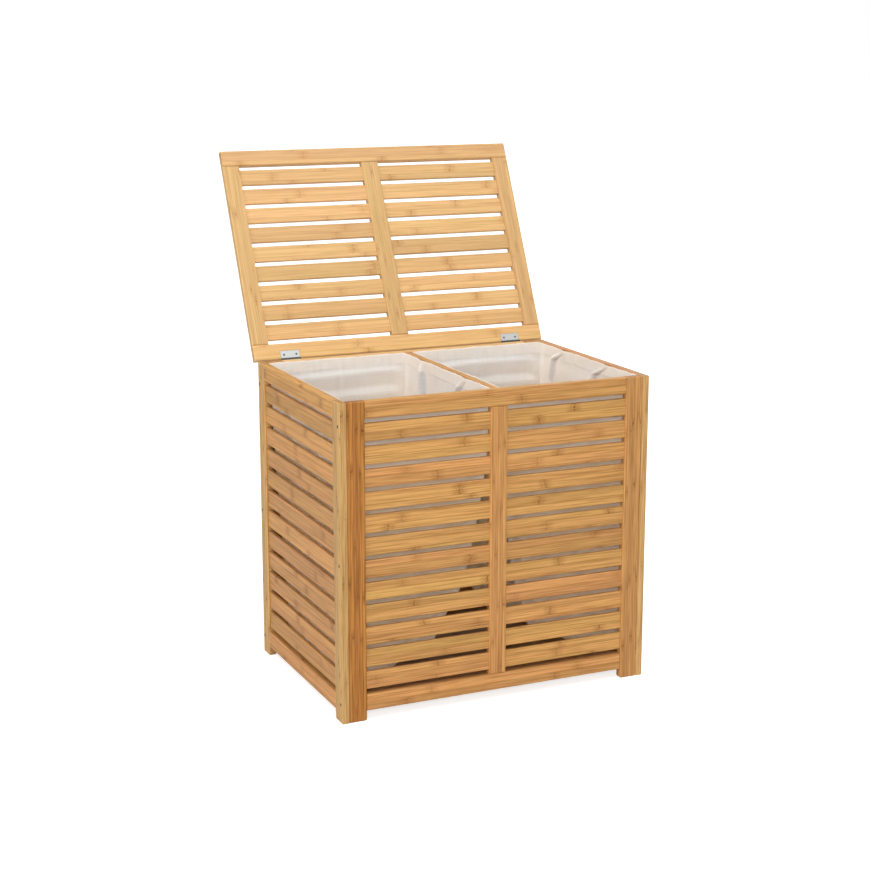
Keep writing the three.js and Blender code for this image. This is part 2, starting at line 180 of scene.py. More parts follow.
def mullion_and_slats(axes, up, through, half_mullion, first, pitch, number):
    """Slats in two columns that run across, and the mullion between them with its grain upright."""
    def lay(tree):
        place, _ = axes(tree)
        within, number_of_slat = stacked_slats(tree, place[up], first, pitch, number)
        right = add(tree, "Math", {0: place["X"], 1: 0.0}, operation="GREATER_THAN")
        number_of_slat = add(
            tree, "Math", {0: right, 1: COLUMN_STEP, 2: number_of_slat}, operation="MULTIPLY_ADD")
        reach = add(tree, "Math", {0: place["X"]}, operation="ABSOLUTE")
        slat = add(tree, "Math", {0: reach, 1: half_mullion}, operation="GREATER_THAN")
        along = add(tree, "Mix", {0: slat, 2: place[up], 3: place["X"]})
        across = add(tree, "Mix", {0: slat, 2: place["X"], 3: within})
        number_of_board = add(tree, "Mix", {0: slat, 2: number, 3: number_of_slat})
        strip_width = add(tree, "Mix", {0: slat, 2: EDGE_STRIP, 3: FLAT_STRIP})
        return along, across, place[through], number_of_board, strip_width, 0.0
    return lay


# Bamboo: the finish

# How wide strips are that lie flat or on edge, how thick layers are, and how far apart culm nodes are
FLAT_STRIP = 17 * MM
EDGE_STRIP = 5.6 * MM
LAYER = 5.6 * MM
CULM_NODE_SPACING = 310 * MM
# Length and width of the marks in the grain. Vascular bundles are 0.5 mm wide. They are drawn as streaks
# and fibres, as coarse as they need to be to show, and as pores where they are cut across.
STREAK = (240 * MM, 4 * MM)
FIBRE = (80 * MM, 2 * MM)
SPECK = (3 * MM, 1.7 * MM)
WAVE = (70 * MM, 4 * MM)
WAVE_DRIFT = 14 * MM
PORE = 1.5 * MM
# The culm nodes: a narrow band and a wide faint halo, each from its full strength to none
NODE_BAND = (1 * MM, 6 * MM)
NODE_HALO = (5 * MM, 20 * MM)


def drawn_out_noise(tree, along, across, through, patch, offset):
    """Noise in patches of a length along the grain and a width across it, moved by an offset."""
    length, width = patch
    scale = (1 / length, 1 / width, 1 / width)
    place = add(tree, "CombineXYZ", {"X": along, "Y": across, "Z": through})
    scaled = add(tree, "VectorMath", {0: place, 1: scale}, operation="MULTIPLY")
    moved = add(tree, "VectorMath", {0: offset, 1: (37, 53, 71), 2: scaled}, operation="MULTIPLY_ADD")
    return add(tree, "TexNoise", {"Vector": moved, "Scale": 1, "Detail": 2, "Roughness": 0.6})


def off_middle(tree, value):
    """How far the fraction of a value is from one half."""
    value = add(tree, "Math", {0: value}, operation="FRACT")
    value = add(tree, "Math", {0: value, 1: 0.5}, operation="SUBTRACT")
    return add(tree, "Math", {0: value}, operation="ABSOLUTE")


def bamboo(name, lay, light, dark, culm_node):
    """Laminated bamboo, planed, sanded and lacquered satin.

    Strips are glued together, flat in rails and slats and on edge in uprights. So tone steps from strip
    to strip, streaks of dense fibre run along each, and each has its own culm nodes: speckled brown bands
    across it. Strips on edge show denser fibre, so uprights are darker. The lacquer is smooth over the
    grain and brighter where it is seen at a low angle.
    """
    material, tree = new_material(name)
    along, across, through, number, strip_width, end = lay(tree)

    board = add(tree, "TexWhiteNoise", {"W": number}, out="Color", noise_dimensions="1D")
    board_tone, board_shift, board_hue = add(tree, "SeparateXYZ", {"Vector": board}, out=XYZ)
    rows = add(tree, "Math", {0: across, 1: strip_width}, operation="DIVIDE")
    rows = add(tree, "Math", {0: rows, 1: board_shift}, operation="ADD")
    row = add(tree, "Math", {0: rows}, operation="FLOOR")
    layer = add(tree, "Math", {0: through, 1: LAYER}, operation="DIVIDE")
    layer = add(tree, "Math", {0: layer}, operation="FLOOR")
    strip = add(tree, "CombineXYZ", {"X": row, "Y": layer, "Z": number})
    strip = add(tree, "TexWhiteNoise", {"Vector": strip}, out="Color")
    strip_tone, strip_phase, strip_marks = add(tree, "SeparateXYZ", {"Vector": strip}, out=XYZ)

    streak = drawn_out_noise(tree, along, across, through, STREAK, strip)
    fibre = drawn_out_noise(tree, along, across, through, FIBRE, strip)
    speck = drawn_out_noise(tree, along, across, through, SPECK, strip)
    wave = drawn_out_noise(tree, along, across, through, WAVE, board)

    # How far a point is from its strip's nearest culm node, measured along the grain
    bent = add(tree, "Math", {0: wave, 1: WAVE_DRIFT, 2: along}, operation="MULTIPLY_ADD")
    turns = add(tree, "Math", {0: bent, 1: CULM_NODE_SPACING}, operation="DIVIDE")
    turns = add(tree, "Math", {0: strip_phase, 1: 9.0, 2: turns}, operation="MULTIPLY_ADD")
    turns = off_middle(tree, turns)
    distance = add(tree, "Math", {0: turns, 1: CULM_NODE_SPACING}, operation="MULTIPLY")
    band = add(tree, "MapRange", {0: distance, 1: NODE_BAND[0], 2: NODE_BAND[1], 3: 0.95, 4: 0.0},
               interpolation_type="SMOOTHSTEP")
    halo = add(tree, "MapRange", {0: distance, 1: NODE_HALO[0], 2: NODE_HALO[1], 3: 0.5, 4: 0.0},
               interpolation_type="SMOOTHSTEP")
    dots = add(tree, "MapRange", {0: speck, 1: 0.42, 2: 0.58, 3: 0.3, 4: 1.0})
    mark = add(tree, "Math", {0: band, 1: halo}, operation="MAXIMUM")
    mark = add(tree, "Math", {0: mark, 1: dots}, operation="MULTIPLY")
    strength = add(tree, "MapRange", {0: strip_marks, 3: 0.35, 4: 1.0})
    mark = add(tree, "Math", {0: mark, 1: strength}, operation="MULTIPLY")

    # A thin glue line between neighbouring strips
    seam = off_middle(tree, rows)
    seam = add(tree, "MapRange", {0: seam, 1: 0.4, 2: 0.5, 3: 0.0, 4: 0.5})

    # Dark fibre and seams deepen the colour. Strips and boards differ a little in tone and hue.
    depth = add(tree, "MapRange", {0: streak, 1: 0.32, 2: 0.68, 3: -0.15, 4: 0.5})
    fine = add(tree, "MapRange", {0: fibre, 1: 0.32, 2: 0.68, 3: -0.25, 4: 0.65})
    depth = add(tree, "Math", {0: depth, 1: fine}, operation="ADD")
    depth = add(tree, "Math", {0: depth, 1: seam}, operation="ADD", use_clamp=True)
    colour = add(
        tree, "Mix", {0: depth, 6: linear(light), 7: linear(dark)}, out=2, data_type="RGBA")
    tone = add(tree, "MapRange", {0: strip_tone, 3: 0.89, 4: 1.09})
    tone_of_board = add(tree, "MapRange", {0: board_tone, 3: 0.96, 4: 1.04})
    tone = add(tree, "Math", {0: tone, 1: tone_of_board}, operation="MULTIPLY")
    on_edge = add(tree, "MapRange", {0: strip_width, 1: EDGE_STRIP, 2: FLAT_STRIP, 3: 0.93, 4: 1.0})
    tone = add(tree, "Math", {0: tone, 1: on_edge}, operation="MULTIPLY")
    hue = add(tree, "Math", {0: board_hue, 1: strip_marks}, operation="ADD")
    hue = add(tree, "MapRange", {0: hue, 2: 2.0, 3: 0.491, 4: 0.509})
    colour = add(tree, "HueSaturation", {"Hue": hue, "Value": tone, "Color": colour})

    # Where the strips are cut across, the bundles show as dots and the lacquer sinks in darker
    ends = add(tree, "CombineXYZ", {"X": across, "Y": through, "Z": along})
    pores = add(tree, "TexVoronoi", {"Vector": ends, "Scale": 1 / PORE}, out="Distance")
    pores = add(tree, "MapRange", {0: pores, 1: 0.15, 2: 0.5, 3: 0.8, 4: 0.3})
    pores = add(tree, "Math", {0: pores, 1: end}, operation="MULTIPLY")
    mark = add(tree, "Math", {0: mark, 1: pores}, operation="MAXIMUM")
    colour = add(tree, "Mix", {0: mark, 6: colour, 7: linear(culm_node)}, out=2, data_type="RGBA")

    height = add(tree, "Math", {0: mark, 1: 1.2, 2: fibre}, operation="MULTIPLY_ADD")
    bump = add(tree, "Bump", {"Strength": 0.3, "Distance": 0.2 * MM, "Height": height})
    shader = add(tree, "BsdfPrincipled", {
        "Base Color": colour,
        "Roughness": add(tree, "MapRange", {0: streak, 3: 0.4, 4: 0.52}),
        "Normal": bump,
        "Specular IOR Level": 0.15,
        "Coat Weight": 0.15,
        "Coat Roughness": 0.25,
    })
    add(tree, "OutputMaterial", {"Surface": shader})
    return material


def dress(name, material):
    """Gives a CAD node its finish."""
    slots = frame["nodes"][name].data.materials
    slots.clear()
    slots.append(material)


# Light fibre, dark fibre and culm nodes of each kind of board
BOX_SHADES = ("#dba562", "#b17d44", "#7f471c")
DARK_SHADES = ("#c98942", "#8f5c25", "#562b08")
SIDE_SHADES = ("#d99f60", "#b17f46", "#7d461d")
PALE_SHADES = ("#deb072", "#ae8049", "#7c481b")
# The lid's shades are paler than the box's in part as painted light, for the light from above on the open
# lid's upturned face
LID_SHADES = ("#e4b980", "#cfa36c", "#b07a46")
BASE_SHADES = ("#d6ab76", "#b98f5d", "#8a5a30")

# Each board has a number, so that no two show the same grain
FRAME_NUMBERS = {
    "front_left_stile": 1.37, "front_right_stile": 2.74, "front_top_rail": 4.11,
    "front_bottom_rail": 5.48, "rear_left_stile": 6.85, "rear_right_stile": 8.22,
    "rear_top_rail": 9.59, "rear_bottom_rail": 10.96, "left_front_stile": 12.33,
    "left_rear_stile": 13.7, "left_top_rail": 15.07, "left_bottom_rail": 16.44,
    "right_front_stile": 17.81, "right_rear_stile": 19.18, "right_top_rail": 20.55,
    "right_bottom_rail": 21.92,
}
SLAT_COUNT = 12
HALF_MULLION = 17.1 * MM


def dress_box():
    """Bamboo for the box: stiles with their grain upright, rails and slats with it level."""
    for name, number in FRAME_NUMBERS.items():
        across, through = ("X", "Y") if name.startswith(("front", "rear")) else ("Y", "X")
        if name == "front_left_stile":
            shades = DARK_SHADES
        elif name == "rear_top_rail":
            # Painted highlight: the rear top rail takes the lid's paler shades, so that its top shows as
            # brightly lit
            shades = LID_SHADES
        elif across == "Y":
            shades = PALE_SHADES if name.endswith("stile") else SIDE_SHADES
        else:
            shades = BOX_SHADES
        if name.endswith("stile"):
            lay = one_board(standing_axes, "Z", across, through, number, EDGE_STRIP)
        else:
            lay = one_board(standing_axes, across, "Z", through, number, FLAT_STRIP)
        dress(name, bamboo("bamboo_" + name, lay, *shades))

    first = node_box("left_slat_01")[0][2]
    last = node_box(f"left_slat_{SLAT_COUNT:02d}")[0][2]
    pitch = (last - first) / (SLAT_COUNT - 1)
    for panel, number in (("front", 60.3), ("rear", 90.9)):
        lay = mullion_and_slats(standing_axes, "Z", "Y", HALF_MULLION, first, pitch, number)
        dress(panel + "_mullion_and_slats", bamboo(f"bamboo_{panel}_slats", lay, *BOX_SHADES))
    for panel, number in (("left", 120.1), ("right", 150.7)):
        finish = bamboo(f"bamboo_{panel}_slats", side_slats(first, pitch, number), *SIDE_SHADES)
        for slat in range(1, SLAT_COUNT + 1):
            dress(f"{panel}_slat_{slat:02d}", finish)
    lay = one_board(standing_axes, "Y", "X", "Z", 200.3, FLAT_STRIP)
    dress("divider_rail", bamboo("bamboo_divider_rail", lay, *PALE_SHADES))
    lay = one_board(standing_axes, "X", "Y", "Z", 210.9, FLAT_STRIP)
    dress("base_board", bamboo("bamboo_base_board", lay, *BASE_SHADES))


# Name, directions along and across the grain, number and strip width of each board of the lid's frame
LID_BOARDS = (
    ("left_stile", "Y", "X", 240.5, EDGE_STRIP),
    ("right_stile", "Y", "X", 251.7, EDGE_STRIP),
    ("front_rail", "X", "Y", 262.9, FLAT_STRIP),
    ("rear_rail", "X", "Y", 276.7, FLAT_STRIP),
)
# The lid's first slat starts at this distance from the hinge line
LID_FIRST_SLAT = 44.5 * MM
LID_SLAT_PITCH = 40.91 * MM
LID_HALF_MULLION = 18.1 * MM


def dress_lid():
    """Paler bamboo for the lid, paler in part as painted light for the light from above on the open lid's
    upturned face.
    """
    for name, along, across, number, strip_width in LID_BOARDS:
        lay = one_board(lid_axes, along, across, "Z", number, strip_width)
        dress("lid_" + name, bamboo("bamboo_lid_" + name, lay, *LID_SHADES))
    lay = mullion_and_slats(
        lid_axes, "Y", "Z", LID_HALF_MULLION, -LID_FIRST_SLAT, LID_SLAT_PITCH, 290.1)
    dress("lid_mullion_and_slats", bamboo("bamboo_lid_slats", lay, *LID_SHADES))


# Other finishes

# The hinge's knuckles carry painted shade up to the first distance from the hinge line, and none from the
# second
PAINTED_KNUCKLE_SHADE = (5.2 * MM, 6.4 * MM)
MOTTLE = 2.5 * MM


def zinc_plated_steel(name, colour, roughness):
    """Stamped steel with bright zinc plating: grey-white, with a faint mottle from the bath.

    A near-black painted shade on the knuckles stands for the shadow under each leaf.
    """
    material, tree = new_material(name)
    place = add(tree, "TexCoord", out="Object")
    mottle = add(tree, "TexNoise", {"Vector": place, "Scale": 1 / MOTTLE, "Detail": 3})
    bump = add(tree, "Bump", {"Strength": 0.15, "Distance": 0.05 * MM, "Height": mottle})
    from_pin = add(tree, "VectorMath", {0: place, 1: HINGE_PLACE}, operation="SUBTRACT")
    from_pin = add(tree, "VectorMath", {0: from_pin, 1: (0, 1, 1)}, operation="MULTIPLY")
    from_pin = add(tree, "VectorMath", {0: from_pin}, out="Value", operation="LENGTH")
    # Painted shade: the knuckles turn near-black, for the shadow under each leaf
    knuckle_painted_shade = add(tree, "MapRange", {0: from_pin, 1: PAINTED_KNUCKLE_SHADE[0], 2: PAINTED_KNUCKLE_SHADE[1], 3: 0.93, 4: 0.0})
    tone = add(
        tree, "Mix", {0: knuckle_painted_shade, 6: linear(colour), 7: linear("#2e2c2a")}, out=2, data_type="RGBA")
    shader = add(tree, "BsdfPrincipled", {
        "Base Color": tone,
        "Metallic": 1.0,
        "Roughness": add(tree, "MapRange", {0: mottle, 3: roughness - 0.08, 4: roughness + 0.12}),
        "Normal": bump,
    })
    add(tree, "OutputMaterial", {"Surface": shader})
    return material


YARN = 1.6 * MM
SLUB_LENGTH = 40 * MM
# The cloth turns creamier from the first height down to the second
CREAM = "#fde2c6"
CREAM_HEIGHTS = (560 * MM, 420 * MM)


def cotton(name, colour, shadow):
    """Plain-weave cotton, off-white and thin: matt, with faint slubs in the yarns.

    It lets light through, red further than blue, so it glows cream where it is lit from behind. Below
    the rim its colour is creamier, for the light that the boards around it throw on it.
    The real yarns lie 0.4 mm apart. They are drawn at 1.6 mm, as fine as shows.
    """
    material, tree = new_material(name)
    cloth = add(tree, "UVMap", uv_map="cloth")
    across, up, _ = add(tree, "SeparateXYZ", {"Vector": cloth}, out=XYZ)
    weft = add(tree, "Math", {0: across, 1: 2 * math.pi / YARN}, operation="MULTIPLY")
    weft = add(tree, "Math", {0: weft}, operation="SINE")
    warp = add(tree, "Math", {0: up, 1: 2 * math.pi / YARN}, operation="MULTIPLY")
    warp = add(tree, "Math", {0: warp}, operation="SINE")
    weave = add(tree, "Math", {0: weft, 1: warp}, operation="MULTIPLY")
    along_weft = (1 / SLUB_LENGTH, 1 / YARN, 1)
    level = add(tree, "VectorMath", {0: cloth, 1: along_weft}, operation="MULTIPLY")
    level = add(tree, "TexNoise", {"Vector": level, "Scale": 1, "Detail": 2})
    along_warp = (1 / YARN, 1 / SLUB_LENGTH, 1)
    upright = add(tree, "VectorMath", {0: cloth, 1: along_warp}, operation="MULTIPLY")
    upright = add(tree, "TexNoise", {"Vector": upright, "Scale": 1, "Detail": 2})
    slub = add(tree, "Math", {0: level, 1: upright}, operation="ADD")
    shade = add(tree, "MapRange", {0: slub, 1: 0.75, 2: 1.25, 3: 0.0, 4: 1.0})
    tone = add(
        tree, "Mix", {0: shade, 6: linear(shadow), 7: linear(colour)}, out=2, data_type="RGBA")
    place, _ = standing_axes(tree)
    high, low = CREAM_HEIGHTS
    depth = add(tree, "MapRange", {0: place["Z"], 1: high, 2: low, 3: 0.0, 4: 0.65})
    tone = add(tree, "Mix", {0: depth, 6: tone, 7: linear(CREAM)}, out=2, data_type="RGBA")
    height = add(tree, "Math", {0: weave, 1: 0.3, 2: slub}, operation="MULTIPLY_ADD")
    bump = add(tree, "Bump", {"Strength": 0.35, "Distance": 0.4 * MM, "Height": height})
    shader = add(tree, "BsdfPrincipled", {
        "Base Color": tone,
        "Roughness": 0.9,
        "Specular IOR Level": 0.1,
        "Sheen Weight": 0.08,
        "Subsurface Weight": 1.0,
        "Subsurface Radius": (1.0, 0.93, 0.86),
        "Subsurface Scale": 3.5 * MM,
        "Normal": bump,
    })
    add(tree, "OutputMaterial", {"Surface": shader})
    return material


# Meshes


def new_piece(name, points, faces, material, body, slot):
    """A smooth mesh as a piece that rides on a body."""
    mesh = bpy.data.meshes.new(name)
    mesh.from_pydata(points.tolist(), [], faces)
    mesh.shade_smooth()
    mesh.materials.append(material)
    piece = bpy.data.objects.new(name, mesh)
    bpy.context.scene.collection.objects.link(piece)
    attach(piece, body)
    return piece


def skin_faces(rows, columns):
    """The faces of a skin through closed rings, one above another, with both end rings capped."""
    index = np.arange(rows * columns).reshape(rows, columns)
    beside = np.roll(index, -1, axis=1)
    quads = np.stack([index[:-1], beside[:-1], beside[1:], index[1:]], axis=-1).reshape(-1, 4)
    return quads.tolist() + [index[0, ::-1].tolist(), index[-1].tolist()]


def copies(points, faces, places):
    """The points and faces of many copies of one small shape, each at its 4 by 4 place."""
    shape = np.c_[points, np.ones(len(points))]
    moved = np.einsum("nij,kj->nki", places, shape)[..., :3].reshape(-1, 3)
    starts = (np.arange(len(places)) * len(points)).tolist()
    return moved, [[corner + start for corner in face] for start in starts for face in faces]


# Fabric liners

CLOTH = 1.0 * MM
HEM = 1.5 * MM
HEM_HEIGHT = 22 * MM
RIM_DROP = 0.5 * MM
CORNER_RADIUS = 6 * MM
FOOT_RADIUS = 36 * MM
ROUND_POINTS = 360

# How far the foot has drawn in at the divider's side, for the left and the right bin, at the rear and at
# the two other sides
DRAWN_IN_AT_DIVIDER = (115 * MM, 80 * MM)
DRAWN_IN_AT_REAR = 46 * MM
DRAWN_IN_ELSEWHERE = 20 * MM
# How far the foot hangs up at the divider's side, and how far up the wall that reaches
FOOT_LIFT = 75 * MM
FOOT_LIFT_REACH = 220 * MM

PLEAT_RIDGE = 9 * MM
PLEAT_VALLEY = 7 * MM
WAVE_DEPTH = 0.5 * MM
PUCKER_DEPTH = 0.16 * MM
RUMPLE_DEPTH = 5 * MM
MOST_RELIEF = 30 * MM
# Over this distance from a corner, folds grow to their full depth
TIGHT_CORNER = 28 * MM

STITCH_PITCH = 3.6 * MM
STITCH_LENGTH = 2.6 * MM
STITCH_THICKNESS = 0.35 * MM

# A short wall's shape as it falls from the rim: distance below it, then distance in from the rail.
# The steps are the creases that the liner was folded along for packing.
CREASES = np.array([
    (0, 0.4), (22, 1.4), (26, 2.6), (33, 7.4), (38, 7.8), (62, 4.6), (66, 5.2), (76, 11), (82, 11.4),
    (140, 7), (148, 8), (156, 12), (250, 8), (262, 13), (400, 9), (412, 13), (560, 10),
]) * MM

# A pleat on a long wall: distance below the rim, then its place from front to rear. The first two are
# those of the left liner, the others those of the right one.
PLEATS = (
    (np.array([(0, 4), (27, -1), (64, -8), (300, -30)]) * MM,
     np.array([(0, -198), (17, -176), (31, -165), (300, -140)]) * MM),
    (np.array([(0, -19), (25, 27), (68, 40), (300, 60)]) * MM,
     np.array([(0, -195), (28, -144), (56, -132), (300, -110)]) * MM),
)


class Liner:
    """One fabric bin: a rounded rectangle carried down from the rim, drawn in, creased and pleated."""

    def __init__(self, name, side):
        self.name = name
        self.side = side
        self.low, self.high = node_box(name)
        self.foot = self.low[2]
        self.rim = node_box("front_top_rail")[1][2] - RIM_DROP
        x0, y0 = self.low[:2] + CORNER_RADIUS
        x1, y1 = self.high[:2] - CORNER_RADIUS
        arc = math.pi / 2 * CORNER_RADIUS
        self.lengths = np.cumsum([0, x1 - x0, arc, y1 - y0, arc, x1 - x0, arc, y1 - y0, arc])
        self.across = (0, 1, 1, 1, 1, 0, 0, 0, 0)
        self.along = (0, 0, 0, 1, 1, 1, 1, 0, 0)
        self.facing = np.radians([-90, -90, 0, 0, 90, 90, 180, 180, 270])
        self.around = self.lengths[-1]

    def relief(self, x, y, facing, below, to_corner):
        """How far the cloth stands in from its drawn-in outline.

        Short walls follow the creases, with one upright crease down the middle. Long walls carry two
        pleats: a ridge with a deep valley on its front side, which drifts sideways as it falls. Slow
        waves and a pucker under the hem cover both, and lower down the cloth is rumpled. It all fades
        towards the corners, which stay tight.
        """
        noise = np.random.RandomState(3 + self.side)
        long_wall = smooth(np.abs(np.cos(facing)), 0.7, 1.0)
        short_wall = smooth(np.abs(np.sin(facing)), 0.7, 1.0)
        centre = (self.low + self.high) / 2
        open_wall = smooth(to_corner, 0, TIGHT_CORNER)

        bow = 2 * MM * np.sin((x - centre[0]) * 19 + self.side) - 5 * MM * (1 - open_wall)
        creased = np.interp(below + bow, *CREASES.T)
        upright = np.exp(-np.abs(x - centre[0]) / (3 * MM)) * smooth(below, 0, 20 * MM)
        creased = creased + 1.8 * MM * upright

        pleated = 0.4 * MM + 3.5 * MM * smooth(below, 4 * MM, 60 * MM)
        for path in PLEATS[self.side]:
            place = np.interp(below, *path.T)
            width = 7 * MM + 0.03 * below
            strength = smooth(below, 3 * MM, 26 * MM) * (1 - 0.6 * smooth(below, 100 * MM, 400 * MM))
            ridge = hump(y, place, width)
            valley = hump(y, place - 1.6 * width, 0.8 * width)
            pleated = pleated + strength * (PLEAT_RIDGE * ridge - PLEAT_VALLEY * valley)
            gather = 1 - smooth(below, 0, 60 * MM)
            pleated = pleated + 3.2 * MM * hump(y, path[0, 1], 16 * MM) * gather

        depth = creased * short_wall + pleated * long_wall
        along = np.where(long_wall > 0.5, y, x)
        for _ in range(8):
            pitch, slant = noise.uniform(22, 95), noise.uniform(-20, 20)
            wave = np.sin(along * pitch + below * slant + noise.uniform(0, 6.3))
            depth = depth + WAVE_DEPTH * wave * smooth(below, 0, 60 * MM)
        for _ in range(5):
            pitch, phase = noise.uniform(150, 420), noise.uniform(0, 6.3)
            pucker = 1 - smooth(below, 10 * MM, 45 * MM)
            depth = depth + PUCKER_DEPTH * (1 + np.sin(along * pitch + phase)) * pucker
        rumple = np.sin(along * 64 + below * 21) * np.sin(below * 47 - along * 18 + self.side)
        rumpled = smooth(below, 110 * MM, 210 * MM) * open_wall
        depth = depth + RUMPLE_DEPTH * (1 + rumple) * rumpled
        depth = depth * (0.25 + 0.75 * open_wall)
        corner = 0.6 * CORNER_RADIUS
        most = corner + (MOST_RELIEF - corner) * smooth(to_corner, 0, TIGHT_CORNER / 2)
        return np.clip(depth, 0.3 * MM, most)

    def drawn_in(self, below):
        """How far the sides have drawn in: low and high end of X, then of Y.

        It grows with a power of the share of the way down from the rim to the foot, and is most at the
        rear and towards the divider, which leave the cloth free.
        """
        fall = np.clip(below / (self.rim - self.foot), 0, 1)
        outer = DRAWN_IN_ELSEWHERE * fall ** 1.6
        inner = DRAWN_IN_AT_DIVIDER[self.side] * fall ** 1.9
        rear = DRAWN_IN_AT_REAR * fall ** 0.9
        return (outer, inner) if self.side == 0 else (inner, outer), (outer, rear)

    def wall(self, around, height, inside):
        """Points of the outer or the inner skin, at distances around the rim and heights.

        The distance around gives a place on the drawn-in rectangle and the way the wall faces there. The
        skin lies a corner radius out from that, less the relief and, for the inner one, the thickness,
        which grows at the hem. The rim sways up and down by less than a millimetre.
        """
        around = np.mod(around, self.around)
        facing = np.interp(around, self.lengths, self.facing)
        below = self.rim - height
        point, reach = [], []
        for axis, share in enumerate((self.across, self.along)):
            near, far = self.drawn_in(below)[axis]
            start = self.low[axis] + CORNER_RADIUS + near
            end = self.high[axis] - CORNER_RADIUS - far
            share = np.interp(around, self.lengths, share)
            point.append(start * (1 - share) + end * share)
            reach.append(np.minimum(share, 1 - share) * (end - start))
        x, y = point
        depth = self.relief(x, y, facing, below, np.maximum(*reach))
        thick = CLOTH + (HEM - CLOTH) * (1 - smooth(below, HEM_HEIGHT, HEM_HEIGHT + 1.5 * MM))
        out = CORNER_RADIUS - depth - (thick if inside else 0)
        sway = 0.35 * MM * (np.sin(around * 61 + self.side) + 0.6 * np.sin(around * 173) - 1.6)
        return np.stack([
            x + out * np.cos(facing),
            y + out * np.sin(facing),
            height + sway * (1 - smooth(below, 0, 12 * MM)),
        ], axis=-1)

    def bowl(self, ring, floor, radius):
        """The rounded foot under a wall and the bottom inside it, ring by ring to the middle.

        The wall's lowest ring turns in through a quarter circle of the radius, then shrinks to the
        middle of the floor, with shallow wrinkles that cross.
        """
        middle = (ring.min(axis=0) + ring.max(axis=0)) / 2
        half = (ring.max(axis=0) - ring.min(axis=0))[:2] / 2
        rings = []
        for angle in np.radians(np.linspace(9, 90, 10)):
            turned = ring.copy()
            shrink = 1 - radius * (1 - math.cos(angle)) / half
            turned[:, :2] = middle[:2] + (ring - middle)[:, :2] * shrink
            turned[:, 2] = floor + (ring[:, 2] - floor) * (1 - math.sin(angle))
            rings.append(turned)
        edge = rings[-1]
        for share in np.linspace(0.96, 0.02, 40):
            flat = middle + (edge - middle) * share
            x, y = flat[:, 0], flat[:, 1]
            wrinkle = np.sin(x * 90 + y * 35) * np.sin(y * 62 - x * 20)
            flat[:, 2] = floor + 1.6 * MM * (1 + wrinkle) * smooth(1 - share, 0, 0.2)
            rings.append(flat)
        return np.array(rings)

    def lift_foot(self, points):
        """Raises the foot towards the divider, where it hangs free of the base board.

        The rise is greatest there, falls to none across the bin and fades out up the wall.
        """
        share = (points[..., 0] - self.low[0]) / (self.high[0] - self.low[0])
        share = share if self.side == 0 else 1 - share
        rise = FOOT_LIFT * smooth(share, 0.1, 0.75)
        height = points[..., 2]
        points[..., 2] += rise * (1 - smooth(height, self.foot, self.foot + FOOT_LIFT_REACH))

    def make(self, fabric, thread):
        """The cloth: one closed skin, up from the outer bottom, over the rim and down to the inner one."""
        around = np.linspace(0, self.around, ROUND_POINTS, endpoint=False)
        knee = self.foot + FOOT_RADIUS
        heights = np.concatenate([
            np.linspace(knee, self.rim - 170 * MM, 30),
            np.linspace(self.rim - 166 * MM, self.rim - 90 * MM, 18),
            np.linspace(self.rim - 88 * MM, self.rim - 1.5 * MM, 56),
        ])
        grid = np.meshgrid(around, heights)
        outer = self.wall(*grid, False)
        inner = self.wall(*grid, True)
        outer_bowl = self.bowl(outer[0], self.foot, FOOT_RADIUS)[::-1]
        inner_bowl = self.bowl(inner[0], self.foot + CLOTH, FOOT_RADIUS - CLOTH)
        lips = [
            outer[-1] * (1 - share) + inner[-1] * share + np.array([0, 0, rise])
            for share, rise in ((0.12, 0.9 * MM), (0.5, 1.3 * MM), (0.88, 0.9 * MM))]
        rings = np.concatenate([outer_bowl, outer, lips, inner[::-1], inner_bowl])
        self.lift_foot(rings)
        rows, columns = rings.shape[:2]
        faces = skin_faces(rows, columns)
        cloth = new_piece(
            self.name + "_cloth", rings.reshape(-1, 3), faces, fabric, "box", "liner")
        self.lay_weave(cloth, rings, around, len(outer_bowl))
        stitches = self.make_stitches(thread)
        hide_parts(self.name)

    def lay_weave(self, cloth, rings, around, bottom_rows):
        """The cloth's UV map, in metres: round the walls and up them, and straight across the bottom."""
        rows, columns = rings.shape[:2]
        rise = np.linalg.norm(np.diff(rings, axis=0), axis=2).mean(axis=1)
        up = np.concatenate([[0], np.cumsum(rise)])
        across = np.append(around, self.around)
        uv = np.empty((rows - 1, columns, 4, 2))
        for corner, (row, column) in enumerate(((0, 0), (0, 1), (1, 1), (1, 0))):
            uv[:, :, corner, 0] = across[column:column + columns]
            uv[:, :, corner, 1] = up[row:row + rows - 1, None]
            plan = np.roll(rings, -column, axis=1)[row:row + rows - 1, :, :2]
            flat = bottom_rows - 8
            uv[:flat, :, corner] = plan[:flat]
            uv[-flat:, :, corner] = plan[-flat:]
        ends = [rings[0, ::-1, :2], rings[-1, :, :2]]
        layer = cloth.data.uv_layers.new(name="cloth")
        layer.data.foreach_set("uv", np.concatenate([uv.reshape(-1, 2), *ends]).ravel())

